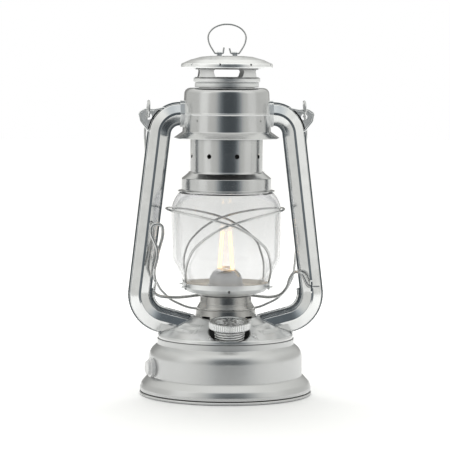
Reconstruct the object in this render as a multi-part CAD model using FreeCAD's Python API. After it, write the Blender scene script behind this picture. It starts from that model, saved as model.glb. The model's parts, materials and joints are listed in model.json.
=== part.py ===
import FreeCAD, Part
import math
import os

# Battery-powered tubular barn lantern: a pressed-steel tank base, two hollow side tubes, a hood,
# a clear globe on a lifting plate, and a sliding chimney that holds the globe down.
# Units are millimetres. +Z is up, -Y is the front (filler cap), the origin is the base's centre.

# ---- driving dimensions ----
SHEET = 0.7             # thickness of the pressed sheet steel
FOOT_R = 67.5           # outer radius of the rolled foot band
BOWL_R = 59.8           # outer radius of the tank bowl
NECK_R = 53.4           # radius of the bead round the top of the bowl
BEAD_TOP = 43.5
DOME_R = 52.6           # tank dome: foot radius, bottom of its skirt, edge of its slope
DOME_SKIRT = 40.5
DOME_EDGE = 46.6
DOME_TOP_R = 23.8       # where the tank dome meets the burner gallery
DOME_TOP = 60.4
GALLERY_TOP_R = 19.4
GALLERY_TOP = 76.8
PLATE_R = 33.6          # globe plate
GLOBE_R = 42.6
GLOBE_WALL = 1.6
COLLAR_R = 34.8         # collar that sits on the globe
CHIMNEY_R = 28.1
HOOD_R = 34.4
HOOD_TOP = 238.5
HOOD_BOTTOM = 200.0
LID_R = 35.6
LID_TOP = 263.4
TUBE_HALF_WIDTH = 9.45
TUBE_DEPTH = 6.8
TUBE_SLOPE = 6.74       # degrees that the side tubes lean outwards
WIRE_R = 1.0            # bail and lift lever
GUARD_R = 0.75          # guard wires
RING_R = 0.7            # ring handle on the lid
CAP_TILT = 8.0          # degrees that the filler neck leans forwards
NECK_BASE = (0.0, -38.6, 45.4)
BUTTON_ANGLE = 15.0     # degrees that the power button sits forward of the left side
BUTTON_Z = 22.4
EAR_X, EAR_Z = 60.6, 216.2      # hole in the ear that the bail hooks through
LEVER_PIVOT = (65.9, -10.5, 84.5)
RING_AXIS_Z = 265.2

V = FreeCAD.Vector
ORIGIN = V(0, 0, 0)
UP = V(0, 0, 1)


# ---- helpers ----
def corner(a, p, b, radius):
    """Start, middle and end of the arc that rounds corner p between points a and b."""
    u = (a - p).normalize()
    v = (b - p).normalize()
    half = u.getAngle(v) / 2
    reach = radius / math.tan(half)
    centre = p + (u + v).normalize() * (radius / math.sin(half))
    middle = centre + (p - centre).normalize() * radius
    return p + u * reach, middle, p + v * reach


def rounded(points, radii, closed=False):
    """Wire of straight runs through the points, each corner rounded by its radius (0 keeps it sharp)."""
    points = [V(*p) for p in points]
    corners = list(range(len(points))) if closed else list(range(1, len(points) - 1))
    if not isinstance(radii, (list, tuple)):
        radii = [radii] * len(corners)
    stops = []
    for index, radius in zip(corners, radii):
        p = points[index]
        if radius > 0:
            stops.append(corner(points[index - 1], p, points[(index + 1) % len(points)], radius))
        else:
            stops.append((p, None, p))
    if not closed:
        stops = [(points[0], None, points[0])] + stops + [(points[-1], None, points[-1])]
    edges = []
    for index, (start, middle, end) in enumerate(stops):
        if middle is not None:
            edges.append(Part.Arc(start, middle, end).toShape())
        if index + 1 < len(stops) or closed:
            after = stops[(index + 1) % len(stops)][0]
            if (after - end).Length > 1e-6:
                edges.append(Part.LineSegment(end, after).toShape())
    return Part.Wire(edges)


def lathe(profile, radii=0.0):
    """Solid of revolution of a closed outline of (radius, height) points."""
    wire = rounded([(r, 0, z) for r, z in profile], radii, closed=True)
    return Part.Face(wire).revolve(ORIGIN, UP, 360)


def spun_sheet(path, radii, thickness=SHEET):
    """Thin spun shell: the outer line (radius, height), thickened to its left as it is followed."""
    wire = rounded([(r, 0, z) for r, z in path], radii)
    return wire.makeOffset2D(thickness, 0, True, True).revolve(ORIGIN, UP, 360).Solids[0]


def ring(outer, inner, bottom, top):
    return lathe([(inner, bottom), (outer, bottom), (outer, top), (inner, top)])


def rod(radius, start, end):
    start, end = V(*start), V(*end)
    return Part.makeCylinder(radius, (end - start).Length, start, end - start)


def block(size, centre):
    corner_point = V(*centre) - V(*size) * 0.5
    return Part.makeBox(size[0], size[1], size[2], corner_point)


def soft_radii(points, share=0.45):
    """The largest corner radii that a chain of runs leaves room for."""
    points = [V(*p) for p in points]
    radii = []
    for a, p, b in zip(points, points[1:], points[2:]):
        turn = math.pi - (a - p).getAngle(b - p)
        radii.append(share * min((a - p).Length, (b - p).Length) / math.tan(turn / 2))
    return radii


def wire_along(points, radius):
    """Round wire bent along straight runs and tangent arcs."""
    path = rounded(points, soft_radii(points))
    start, after = V(*points[0]), V(*points[1])
    section = Part.Wire([Part.Circle(start, after - start, radius).toShape()])
    return path.makePipeShell([section], True, False)


def fuse(shapes):
    return shapes[0].multiFuse(shapes[1:]).removeSplitter() if len(shapes) > 1 else shapes[0]


def mirrored_x(shape):
    return shape.mirror(ORIGIN, V(1, 0, 0))


def mirrored_y(shape):
    return shape.mirror(ORIGIN, V(0, 1, 0))


def around(shape, count, first=0.0):
    """Copies of a shape spaced evenly about the Z axis."""
    return [shape.rotated(ORIGIN, UP, first + 360.0 * k / count) for k in range(count)]


def on_neck(shape):
    """Places a shape drawn about the Z axis on the tilted filler neck."""
    turned = shape.rotated(ORIGIN, V(1, 0, 0), CAP_TILT)
    return turned.translated(V(*NECK_BASE))


def at_button(shape):
    """Places a shape drawn along +X on the power button's axis."""
    return shape.rotated(ORIGIN, UP, 180 + BUTTON_ANGLE).translated(V(0, 0, BUTTON_Z))


# ---- tank base ----
WELL_R = 14.2           # foot of the recess round the filler neck
WELL_FLARE = 0.36


def well_cone(inset, bottom, top=20.0):
    low = WELL_R - inset + WELL_FLARE * bottom
    high = WELL_R - inset + WELL_FLARE * top
    return on_neck(Part.makeCone(low, high, top - bottom, V(0, 0, bottom)))


def dome_solid(grow=0.0):
    """Everything inside the tank dome, optionally grown outwards along its slope."""
    slope = (DOME_TOP - DOME_EDGE) / (DOME_R - DOME_TOP_R)
    rise = grow * math.hypot(1, slope)
    peak = DOME_TOP + 2 * slope + rise
    edge = DOME_EDGE + rise - grow * slope
    return lathe([(0, DOME_SKIRT), (DOME_R + grow, DOME_SKIRT), (DOME_R + grow, edge),
                  (DOME_TOP_R - 2, peak), (0, peak)])


def base_pan():
    path = [(0.01, 2.0), (64.6, 2.0), (65.2, 0.0), (FOOT_R, 0.0), (FOOT_R, 3.4)]
    pan = spun_sheet(path, [0.6, 0.6, 1.2])
    hole = Part.makeCylinder(1.6, 4, V(50, 0, 0))
    return pan.cut(Part.makeCompound(around(hole, 4, 45)))


def tank_bowl():
    path = [(66.3, 2.5), (66.3, 7.2), (64.9, 10.9), (61.4, 13.9), (BOWL_R, 14.9), (BOWL_R, 34.2),
            (NECK_R, 39.3), (NECK_R, BEAD_TOP)]
    bowl = spun_sheet(path, [2.0, 4.0, 3.0, 0.5, 9.0, 1.0])
    return bowl.cut(at_button(rod(BEZEL_BODY_R + 0.05, (45, 0, 0), (70, 0, 0))))


def tank_dome():
    path = [(DOME_R, DOME_SKIRT), (DOME_R, DOME_EDGE), (DOME_TOP_R, DOME_TOP), (20.2, DOME_TOP + 0.3)]
    dome = spun_sheet(path, [1.6, 0.0])
    return dome.cut(well_cone(0.0, -SHEET))


def filler_well():
    cup = well_cone(0.0, -SHEET).cut(well_cone(SHEET, 0.0))
    cup = cup.cut(on_neck(rod(10.3, (0, 0, -2), (0, 0, 3))))
    return cup.common(dome_solid()).Solids[0]


# ---- filler neck, cap and charging port ----
NECK_TUBE_R = 11.2
NECK_HEIGHT = 13.8
CAP_R = 15.95
CAP_BOTTOM, CAP_TOP = 10.6, 16.0


def filler_neck():
    ridges = 5
    pitch = 1.9
    profile = [(10.0, -1.6), (10.25, -1.6), (10.25, 0.05), (NECK_TUBE_R, 0.05), (NECK_TUBE_R, 0.6)]
    for k in range(ridges):
        z = 1.0 + k * pitch
        profile += [(NECK_TUBE_R, z), (NECK_TUBE_R + 0.7, z + 0.5), (NECK_TUBE_R + 0.7, z + 0.9),
                    (NECK_TUBE_R, z + 1.4)]
    profile += [(NECK_TUBE_R, NECK_HEIGHT), (10.0, NECK_HEIGHT)]
    return on_neck(lathe(profile))


def knurled_disc(radius, depth, teeth, bottom, top):
    points = []
    for k in range(2 * teeth):
        r = radius if k % 2 == 0 else radius - depth
        angle = math.pi * k / teeth
        points.append(V(r * math.cos(angle), r * math.sin(angle), bottom))
    face = Part.Face(Part.makePolygon(points + points[:1]))
    return face.extrude(V(0, 0, top - bottom))


def filler_cap():
    cap = knurled_disc(CAP_R, 0.45, 54, CAP_BOTTOM, CAP_TOP)
    trim = lathe([(0, CAP_BOTTOM), (CAP_R - 0.7, CAP_BOTTOM), (CAP_R, CAP_BOTTOM + 0.7),
                  (CAP_R, CAP_TOP - 0.7), (CAP_R - 0.7, CAP_TOP), (0, CAP_TOP)])
    cap = cap.common(trim)
    cap = cap.cut(Part.makeCylinder(12.4, 4.2, V(0, 0, CAP_BOTTOM - 0.1)))
    cap = cap.cut(Part.makeCylinder(13.4, 1.0, V(0, 0, CAP_TOP - 0.6)))
    return on_neck(cap)


def cap_seal():
    return on_neck(ring(11.9, 10.0, NECK_HEIGHT + 0.1, NECK_HEIGHT + 0.8))


def port_insert():
    plug = Part.makeCylinder(9.95, 5.2, V(0, 0, -1.4))
    return on_neck(plug.cut(stadium(9.4, 3.6, -2, 6)))


def stadium(length, width, bottom, top):
    """Upright prism with a straight-sided, round-ended outline."""
    half = (length - width) / 2
    middle = Part.makeBox(2 * half, width, top - bottom, V(-half, -width / 2, bottom))
    ends = [Part.makeCylinder(width / 2, top - bottom, V(s * half, 0, bottom)) for s in (-1, 1)]
    return fuse([middle] + ends)


def charging_socket():
    shell = stadium(9.3, 3.5, -3.0, 3.9).cut(stadium(8.5, 2.7, -2.2, 4.2))
    tongue = Part.makeBox(6.6, 0.7, 5.4, V(-3.3, -0.35, -2.4))
    return on_neck(fuse([shell, tongue]))


# ---- power switch ----
BUTTON_R = 5.4
BEZEL_BODY_R = 6.3


def switch_bezel():
    body = rod(BEZEL_BODY_R, (55.0, 0, 0), (60.6, 0, 0))
    flange = rod(7.35, (59.0, 0, 0), (62.3, 0, 0)).cut(Part.makeCylinder(BOWL_R + 0.02, 40, V(0, 0, -20)))
    return at_button(fuse([body, flange]).cut(rod(BUTTON_R + 0.1, (50, 0, 0), (70, 0, 0))))


def power_button():
    button = rod(BUTTON_R, (57.0, 0, 0), (64.8, 0, 0))
    front_edge = [e for e in button.Edges if e.BoundBox.XMin > 64.7]
    button = button.makeFillet(0.7, front_edge)
    return at_button(button.cut(rod(3.8, (56.9, 0, 0), (58.6, 0, 0))))


def coil(radius, wire, turns, height, steps=10):
    """Open coil spring about the Z axis, standing on z = 0."""
    line = []
    for k in range(int(turns * steps) + 1):
        angle = 2 * math.pi * k / steps
        line.append((radius * math.cos(angle), radius * math.sin(angle), height * k / (turns * steps)))
    return wire_along(line, wire)


def button_spring():
    spring = coil(3.1, 0.3, 3, 3.7).rotated(ORIGIN, V(0, 1, 0), 90)
    return at_button(spring.translated(V(52.7, 0, 0)))


def switch_body():
    body = block((8.0, 12.0, 9.0), (48.0, 0, 0))
    return at_button(body.makeFillet(0.8, [e for e in body.Edges if e.BoundBox.XLength > 7]))


# ---- parts inside the tank ----
CELL_R = 9.2
CELL_LENGTH = 65.0
CELL_AT = (0.0, 20.0, 15.4)


def battery_cell():
    x, y, z = CELL_AT
    can = rod(CELL_R, (x - CELL_LENGTH / 2, y, z), (x + CELL_LENGTH / 2 - 1.2, y, z))
    tip = rod(2.9, (x + CELL_LENGTH / 2 - 1.2, y, z), (x + CELL_LENGTH / 2, y, z))
    return fuse([can, tip])


def battery_holder():
    x, y, z = CELL_AT
    tray = block((CELL_LENGTH + 7, 2 * CELL_R + 3, 12.0), (x, y, z - 5.2))
    tray = tray.cut(rod(CELL_R + 0.15, (x - CELL_LENGTH / 2 - 0.2, y, z), (x + CELL_LENGTH / 2 + 0.2, y, z)))
    trough = block((CELL_LENGTH + 0.4, 2 * CELL_R - 2.0, 8.0), (x, y, z + 2.0))
    return tray.cut(trough)


def control_board():
    board = block((52.0, 22.0, 1.6), (0, -10.0, 8.0))
    chips = [block((7.0, 7.0, 1.4), (-12, -9, 9.5)), block((5.0, 4.0, 1.2), (4, -14, 9.4)),
             block((4.0, 4.0, 3.0), (14, -8, 10.3))]
    posts = [rod(2.0, (x, y, 2.8), (x, y, 7.2)) for x in (-22, 22) for y in (-17, -3)]
    return fuse([board] + chips + posts)


def lamp_leads():
    """Pair of insulated wires from the control board up the gallery to the lamp socket."""
    routes = [[(s * 3.0, -5.0, 8.8), (s * 3.0, -5.0, 26.0), (s * 3.0, 0.0, 46.0), (s * 3.0, 0.0, 83.8)]
              for s in (-1, 1)]
    return Part.makeCompound([wire_along(route, 0.7) for route in routes])


def charge_lead():
    x, y, z = NECK_BASE
    return wire_along([(0, -14.0, 8.8), (0, -14.0, 22.0), (0, y + 2.0, 30.0), (0, y + 0.5, z - 3.2)], 1.1)


def switch_lead():
    start = at_button(rod(0.5, (43.5, 0, 0), (43.3, 0, 0))).CenterOfMass
    return wire_along([(start.x, start.y, start.z), (start.x + 6, start.y, start.z), (-30.0, -11.0, 16.0),
                       (-24.0, -10.5, 12.0), (-24.0, -10.5, 8.8)], 0.8)


def base_screws():
    shank = Part.makeCylinder(1.45, 8.3, V(50, 0, 1.0))
    head = Part.makeCylinder(2.8, 1.3, V(50, 0, 0.65)).cut(block((8, 0.8, 1.0), (50, 0, 0.6)))
    return Part.makeCompound(around(fuse([shank, head]), 4, 45))


def pan_bosses():
    """Nut plates inside the pan that the base screws bite into."""
    boss = ring(3.2, 1.55, 2.8, 9.5).translated(V(50, 0, 0))
    return Part.makeCompound(around(boss, 4, 45))


# ---- burner gallery and lamp ----
BURNER_TUBE_R = 14.0


def burner_gallery():
    path = [(24.2, 60.0), (22.2, 67.6), (21.9, 68.2), (21.9, 68.9), (GALLERY_TOP_R, GALLERY_TOP - 0.8),
            (GALLERY_TOP_R, GALLERY_TOP), (BURNER_TUBE_R + 0.05, GALLERY_TOP)]
    gallery = spun_sheet(path, [0.3, 0, 0, 0.8, 0.3])
    slot = block((8.0, 8.0, 3.0), (24.0, 0, 60.4))
    return gallery.cut(Part.makeCompound(around(slot, 4, 45))).cut(dome_solid(0.05))


def burner_tube():
    return spun_sheet([(BURNER_TUBE_R, 70.0), (BURNER_TUBE_R, 84.6), (5.0, 84.6)], [0.4], 0.6)


SLIT_TURN = -35.0       # the slit and the filaments behind it point to the front right


def burner_dome():
    path = [(14.5, 85.3), (13.2, 85.9), (12.7, 92.5), (9.9, 98.6)]
    dome = spun_sheet(path, [0.5, 7.0], 0.6)
    slit = block((40.0, 5.0, 12.0), (0, 0, 98.0)).rotated(V(0, 0, 98), UP, SLIT_TURN)
    return dome.cut(slit)


def lamp_socket():
    base = ring(8.6, 4.4, 84.8, 92.6)
    return fuse([base, ring(10.6, 4.4, 84.8, 86.2)])


def lamp_envelope():
    path = [(8.6, 92.8), (9.5, 100.0), (7.3, 130.4), (0.01, 130.4)]
    return spun_sheet(path, [8.0, 2.5], 0.8)


def lamp_stem():
    post = rod(1.1, (0, 0, 92.6), (0, 0, 127.0))
    foot = lathe([(0, 92.65), (4.2, 92.65), (4.2, 94.0), (1.6, 97.0), (0, 97.0)])
    head = block((8.4, 1.4, 1.2), (0, 0, 127.2)).rotated(V(0, 0, 127.2), UP, SLIT_TURN)
    return fuse([post, foot, head])


def lamp_filaments():
    bars = [rod(1.1, (s * 5.4, 0, 97.0), (s * 3.2, 0, 126.5)) for s in (-1, 1)]
    return Part.makeCompound(bars).rotated(ORIGIN, UP, SLIT_TURN)


# ---- globe plate, globe and guard ----
FEET_X, FEET_Y = 32.3, 14.0


def globe_plate():
    path = [(14.9, 83.2), (14.9, 77.6), (21.0, 77.6), (30.2, 80.2), (PLATE_R, 83.4), (PLATE_R, 87.0)]
    dish = spun_sheet(path, [0.4, 2.0, 3.0, 1.0])
    lugs = []
    for sx in (-1, 1):
        for sy in (-1, 1):
            lug = Part.makeCylinder(3.4, SHEET, V(sx * FEET_X, sy * FEET_Y, 84.2))
            lugs.append(lug.cut(Part.makeCylinder(PLATE_R - 0.3, 4, V(0, 0, 83))))
    holes = [Part.makeCylinder(GUARD_R + 0.02, 6, V(sx * FEET_X, sy * FEET_Y, 82)) for sx in (-1, 1)
             for sy in (-1, 1)]
    return fuse([dish] + lugs).cut(Part.makeCompound(holes))


def globe():
    path = [(31.6, 83.9), (31.6, 86.8), (GLOBE_R, 105.3), (GLOBE_R, 150.0), (36.4, 157.4), (33.3, 158.0),
            (33.3, 164.0)]
    return spun_sheet(path, [1.6, 12.0, 20.0, 1.2, 0.6], GLOBE_WALL)


def guard_line(spread):
    """One guard wire: up from a left foot, over the front, high round the right side and back again."""
    front = [(-27.6, 37.0, 116.0), (-17.5, 42.2, 125.8), (-5.0, 45.3, 133.2), (8.0, 45.0, 137.4),
             (22.0, 40.0, 140.8), (35.0, 29.2, 143.2), (43.4, 14.8, 144.3)]
    foot = [(-FEET_X, FEET_Y, 82.6), (-FEET_X, FEET_Y, 88.5), (-33.2, 25.6, 98.0), (-31.6, 33.0, 107.0)]
    bow = foot + [(x * spread, y * spread, z) for x, y, z in front]
    there = [(x, -y, z) for x, y, z in bow]
    return there + [(45.6 * spread, 0.0, 144.6)] + bow[::-1]


def guard_wire(spread):
    """The two guard wires differ only in spread, so that one crosses outside the other."""
    return wire_along(guard_line(spread), GUARD_R)


# ---- hood, chimney, vent and lid ----
def hood():
    path = [(41.0, HOOD_BOTTOM), (HOOD_R, 204.6), (33.75, 217.4), (34.2, 218.4), (33.7, 219.4),
            (32.8, HOOD_TOP), (22.4, HOOD_TOP)]
    shell = spun_sheet(path, [1.2, 0.3, 0.4, 0.3, 4.6])
    air_way = rod(6.2, (-40, 0, 218.2), (40, 0, 218.2))
    pinholes = [rod(0.6, (25, 0, 213.3), (40, 0, 213.3)).rotated(ORIGIN, UP, -90 + a) for a in (-46, 46)]
    return shell.cut(air_way).cut(Part.makeCompound(pinholes))


def chimney_cylinder():
    path = [(CHIMNEY_R + 0.5, 172.9), (CHIMNEY_R, 173.8), (CHIMNEY_R, 207.0), (21.5, 210.0), (21.5, 239.0)]
    tube = spun_sheet(path, [0.4, 3.0, 2.0])
    holes = around(rod(1.85, (20, 0, 186.1), (35, 0, 186.1)), 8, -90 + 12.5)
    return tube.cut(Part.makeCompound(holes))


def globe_collar():
    path = [(37.7, 158.2), (37.7, 158.9), (COLLAR_R, 159.6), (COLLAR_R, 168.4), (29.6, 172.6), (29.4, 173.4)]
    collar = spun_sheet(path, [0.3, 0.5, 1.0, 0.4])
    return collar.cut(Part.makeCylinder(CHIMNEY_R + 0.52, 20, V(0, 0, 160)))


def vent_ring():
    """Spider between the chimney and the lid: two rolled beads and a band of trapezoid windows."""
    path = [(22.0, 239.1), (24.9, 239.1), (24.9, 241.9), (24.1, 242.4), (26.0, 243.2), (26.0, 244.7),
            (24.6, 245.6), (24.4, 253.4), (21.0, 254.4)]
    band = spun_sheet(path, [0.6, 0.6, 0.2, 0.7, 0.7, 0.3, 0.8])
    low, high = 9.6, 12.0
    outline = [(-low, 0, 246.4), (low, 0, 246.4), (high, 0, 252.6), (-high, 0, 252.6)]
    window = Part.Face(rounded(outline, 0.8, closed=True)).extrude(V(0, 40, 0))
    return band.cut(Part.makeCompound(around(window, 4)))


def lid():
    path = [(34.4, 253.6), (LID_R, 254.9), (35.0, 256.6), (28.6, 260.3), (20.0, 262.6), (12.0, LID_TOP - 0.1),
            (0.01, LID_TOP)]
    shell = spun_sheet(path, [0.7, 0.8, 3.0, 10.0, 0.0])
    holes = around(rod(0.9, (30, 0, 257.6), (38, 0, 257.6)), 9, -90 - 16.5)
    under = ring(24.0, 21.1, 254.5, 255.1)
    return shell.cut(Part.makeCompound(holes)), under


def ring_loops():
    """Two pressed eyes on the lid that the ring handle turns in."""
    eyes = []
    for side in (-1, 1):
        eye = rod(1.75, (side * 4.3, 0, RING_AXIS_Z), (side * 7.7, 0, RING_AXIS_Z))
        foot = block((3.4, 7.0, 1.0), (side * 6.0, 0, LID_TOP + 0.52))
        bore = rod(RING_R + 0.08, (side * 3, 0, RING_AXIS_Z), (side * 9, 0, RING_AXIS_Z))
        lid_top = block((20, 20, 4), (0, 0, LID_TOP - 1.98))
        eyes.append(fuse([eye, foot]).cut(bore).cut(lid_top))
    return Part.makeCompound(eyes)


def lid_ring():
    z = RING_AXIS_Z
    bow = [(9.4, z), (14.2, z + 7.4), (15.1, z + 14.0), (11.1, z + 19.5), (4.1, z + 22.5)]
    left = [(-x, 0, height) for x, height in bow]
    right = [(x, 0, height) for x, height in reversed(bow)]
    line = [(-2.4, 0, z + 4.6), (-3.0, 0, z)] + left + right + [(3.0, 0, z), (1.8, 0, z + 4.0)]
    radii = soft_radii(line, 0.48)
    radii[:2] = [0.9, 0.9]
    radii[-2:] = [0.9, 0.9]
    path = rounded(line, radii)
    start = V(*line[0])
    section = Part.Wire([Part.Circle(start, V(*line[1]) - start, RING_R).toShape()])
    return path.makePipeShell([section], True, False)


def chimney_spring():
    return coil(24.9, 0.5, 4, 26.0).translated(V(0, 0, 211.0))


# ---- side tubes (drawn for the right side and mirrored) ----
LEAN = math.tan(math.radians(TUBE_SLOPE))
TUBE_TOP_Z = 218.2
FLANGE_THICK = 0.6
INNER_FLANGE_TOP = 85.4


def tube_x(z):
    """Where the straight part of the right tube's centre line is at height z."""
    return 53.0 + (198.0 - z) * LEAN


def tube_path():
    line = [(30.0, 0, TUBE_TOP_Z), (tube_x(TUBE_TOP_Z), 0, TUBE_TOP_Z), (tube_x(62.0), 0, 62.0),
            (25.0, 0, 50.2)]
    return rounded(line, [15.9, 21.7])


def section_wire(points, radii):
    """Closed cross-section at the tube's upper end: (offset from the centre line, depth to the front)."""
    return rounded([(30.0, -depth, TUBE_TOP_Z + offset) for offset, depth in points], radii, closed=True)


OUTER_FORM = [(TUBE_HALF_WIDTH, 0), (TUBE_HALF_WIDTH, FLANGE_THICK), (8.1, FLANGE_THICK), (7.4, 3.9),
              (0.2, TUBE_DEPTH), (-7.6, 4.3), (-8.9, 0.9), (-8.9, 0)]
OUTER_RADII = [0, 0, 0.2, 1.4, 1.6, 1.8, 0.4, 0]
INNER_FORM = [(7.5, -0.1), (7.5, 0.6), (6.9, 3.5), (0.1, TUBE_DEPTH - FLANGE_THICK - 0.1), (-7.1, 3.9),
              (-8.3, 0.9), (-8.3, -0.1)]
INNER_RADII = [0, 0.2, 0.9, 1.2, 1.3, 0.2, 0]


def tube_solid():
    """The tube's full outer form, both halves, with nothing cut from it."""
    half = tube_path().makePipeShell([section_wire(OUTER_FORM, OUTER_RADII)], True, False)
    return fuse([half, mirrored_y(half)])


def hood_solid():
    return lathe([(0, HOOD_BOTTOM), (HOOD_R, 204.6), (33.75, 217.4), (34.2, 218.4), (33.7, 219.4),
                  (32.8, HOOD_TOP), (0, HOOD_TOP)])


def ear_outline():
    points = [(54.0, 0, 222.4), (63.5, 0, 222.6), (68.8, 0, 219.4), (67.6, 0, 212.2), (60.0, 0, 203.5),
              (56.0, 0, 208.0)]
    return rounded(points, [0.5, 5.0, 3.4, 4.5, 2.0, 0.5], closed=True)


def ear(tube):
    """Tab on the outer flange with a raised edge and the hole that the bail hooks into."""
    outline = ear_outline()
    tab = Part.Face(outline).extrude(V(0, -1.1, 0))
    pocket = Part.Face(outline.makeOffset2D(-1.5, 0)).extrude(V(0, -3, 0)).translated(V(0, -FLANGE_THICK, 0))
    level = block((12, 3, 60), (51.5, -FLANGE_THICK - 1.5, 212))
    hole = rod(2.5, (EAR_X, -5, EAR_Z), (EAR_X, 5, EAR_Z))
    return tab.cut(pocket).cut(level).cut(tube).cut(hole)


def inner_flange():
    """Seam flange along the inside of the lower bend, up to the shelf that the lift lever rests on."""
    form = [(-8.8, 0), (-11.2, 0), (-11.2, FLANGE_THICK), (-8.8, FLANGE_THICK)]
    strip = tube_path().makePipeShell([section_wire(form, 0)], True, False)
    return strip.cut(block((200, 20, 300), (0, 0, INNER_FLANGE_TOP + 150)))


def tube_front(tube, dome, hood_body):
    skin = tube_path().makePipeShell([section_wire(OUTER_FORM, OUTER_RADII)], True, False)
    hollow = tube_path().makePipeShell([section_wire(INNER_FORM, INNER_RADII)], True, False)
    half = fuse([skin.cut(hollow), ear(tube), inner_flange()])
    return largest(half.cut(dome).cut(hood_body).cut(gallery_foot()))


def largest(shape):
    return max(shape.Solids, key=lambda solid: solid.Volume)


def gallery_foot():
    """Room for the foot of the burner gallery, where the lower arms end."""
    return Part.makeCylinder(24.7, 12, V(0, 0, 54))


def grown_section(grow):
    form = OUTER_FORM[1:-1] + [(offset, -depth) for offset, depth in reversed(OUTER_FORM[1:-1])]
    return section_wire(form, 0).makeOffset2D(grow, 0, True)


def tube_collar(tube, hood_body):
    """Rolled ring round the upper end of a tube, against the hood."""
    sleeve = grown_section(1.1).extrude(V(6.2, 0, 0))
    return largest(sleeve.cut(hood_body).cut(tube))


def tube_saddle(tube):
    """Soldered skirt round the foot of a tube, lying on the tank dome."""
    line = [(tube_x(62.0), 0, 62.0), (25.0, 0, 50.2)]
    start, end = V(*line[0]), V(*line[1])
    drop = math.degrees(math.atan2(start.z - end.z, start.x - end.x))
    sleeve = grown_section(1.0).translated(V(-30, 0, -TUBE_TOP_Z)).rotated(ORIGIN, V(0, 1, 0), 180 - drop)
    sleeve = sleeve.translated(start).extrude(end - start)
    layer = dome_solid(0.6).cut(dome_solid(0.02))
    flange = inner_flange()
    return largest(sleeve.common(layer).cut(tube).cut(flange).cut(mirrored_y(flange)).cut(gallery_foot()))


def lever_clip(tube):
    """Slotted tab on the front of the right tube that the end of the lift lever rocks in."""
    x, y, z = LEVER_PIVOT
    tab = block((1.2, 8.0, 10.0), (x, y + 1.6, z))
    tab = tab.makeFillet(1.5, [e for e in tab.Edges if abs(e.BoundBox.YMax - (y - 2.4)) < 0.01
                               and e.BoundBox.XLength > 1])
    slot = rod(WIRE_R + 0.45, (x - 3, y, z), (x + 3, y, z))
    return largest(tab.cut(slot).cut(tube))


# ---- handles ----
def bail():
    """Carrying handle: eyes hooked through the ears, legs hanging behind the tubes, round bottom."""
    hook = 6.0
    half = [(EAR_X, 3.6, 216.0), (EAR_X, -hook, 216.0), (EAR_X, -hook, 228.0), (EAR_X, hook, 228.0),
            (63.3, 8.5, 203.0), (55.6, 21.8, 90.0), (50.6, 23.2, 79.6), (42.5, 24.3, 71.0),
            (28.0, 25.4, 64.2)]
    radii = [hook, hook, 5.9, 45.0, 25.0, 13.0, 18.0, 30.0]
    line = half + [(0, 25.9, 61.7)] + [(-x, y, z) for x, y, z in reversed(half)]
    path = rounded(line, radii + [90.0] + radii[::-1])
    start = V(*line[0])
    section = Part.Wire([Part.Circle(start, V(*line[1]) - start, WIRE_R).toShape()])
    return path.makePipeShell([section], True, False)


def lift_lever():
    """One wire: thumb loop before the left tube, round the back of the gallery, to the right tube's clip."""
    line = [(-56.4, -13.6, 99.0), (-52.9, -13.6, 112.0), (-59.3, -12.9, 126.0), (-58.6, -12.3, 133.0),
            (-50.4, -11.6, 133.4), (-49.5, -11.2, 125.0), (-53.4, -11.0, 112.0), (-56.8, -9.6, 96.0),
            (-55.4, -5.0, 88.8), (-54.7, 0.5, 87.6), (-55.4, 6.5, 84.0), (-56.0, 9.6, 77.5),
            (-50.5, 11.4, 74.6), (-36.0, 17.0, 73.1), (-20.0, 24.8, 74.4), (0, 27.8, 76.0),
            (20.0, 24.8, 74.4), (36.0, 17.0, 73.1), (44.2, 12.0, 75.4), (48.9, 6.5, 82.0),
            (50.2, 1.5, 90.0), (53.6, -4.0, 95.8), (58.4, -9.4, 95.2), (61.2, -10.5, 89.5),
            (63.4, -10.5, 84.6), (72.2, -10.5, 84.4)]
    return wire_along(line, WIRE_R)


# ---- export ----
def build():
    tube = tube_solid()
    dome = dome_solid(0.02)
    hood_body = hood_solid()
    right_front = tube_front(tube, dome, hood_body)
    right_back = mirrored_y(right_front)
    cap_shell, cap_liner = lid()
    collar = tube_collar(tube, hood_body)
    saddle = tube_saddle(tube)
    return {
        "base_pan": base_pan(), "tank_bowl": tank_bowl(), "tank_dome": tank_dome(),
        "filler_well": filler_well(), "filler_neck": filler_neck(), "filler_cap": filler_cap(),
        "cap_seal": cap_seal(), "port_insert": port_insert(), "charging_socket": charging_socket(),
        "switch_bezel": switch_bezel(), "power_button": power_button(), "button_spring": button_spring(),
        "switch_body": switch_body(), "battery_cell": battery_cell(), "battery_holder": battery_holder(),
        "control_board": control_board(), "lamp_leads": lamp_leads(), "charge_lead": charge_lead(),
        "switch_lead": switch_lead(), "base_screws": base_screws(), "pan_bosses": pan_bosses(),
        "burner_gallery": burner_gallery(), "burner_tube": burner_tube(), "burner_dome": burner_dome(),
        "lamp_socket": lamp_socket(), "lamp_envelope": lamp_envelope(), "lamp_stem": lamp_stem(),
        "lamp_filaments": lamp_filaments(), "globe_plate": globe_plate(), "globe": globe(),
        "guard_wire_left": guard_wire(1.0), "guard_wire_right": mirrored_x(guard_wire(1.036)),
        "right_tube_front": right_front, "right_tube_back": right_back,
        "left_tube_front": mirrored_x(right_front), "left_tube_back": mirrored_x(right_back),
        "right_tube_collar": collar, "left_tube_collar": mirrored_x(collar),
        "right_tube_saddle": saddle, "left_tube_saddle": mirrored_x(saddle),
        "lever_clip": lever_clip(tube), "hood": hood(), "chimney_spring": chimney_spring(),
        "chimney_cylinder": chimney_cylinder(), "globe_collar": globe_collar(),
        "vent_ring": vent_ring(), "lid": cap_shell, "lid_liner": cap_liner, "ring_loops": ring_loops(),
        "lid_ring": lid_ring(), "bail": bail(), "lift_lever": lift_lever(),
    }


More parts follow.
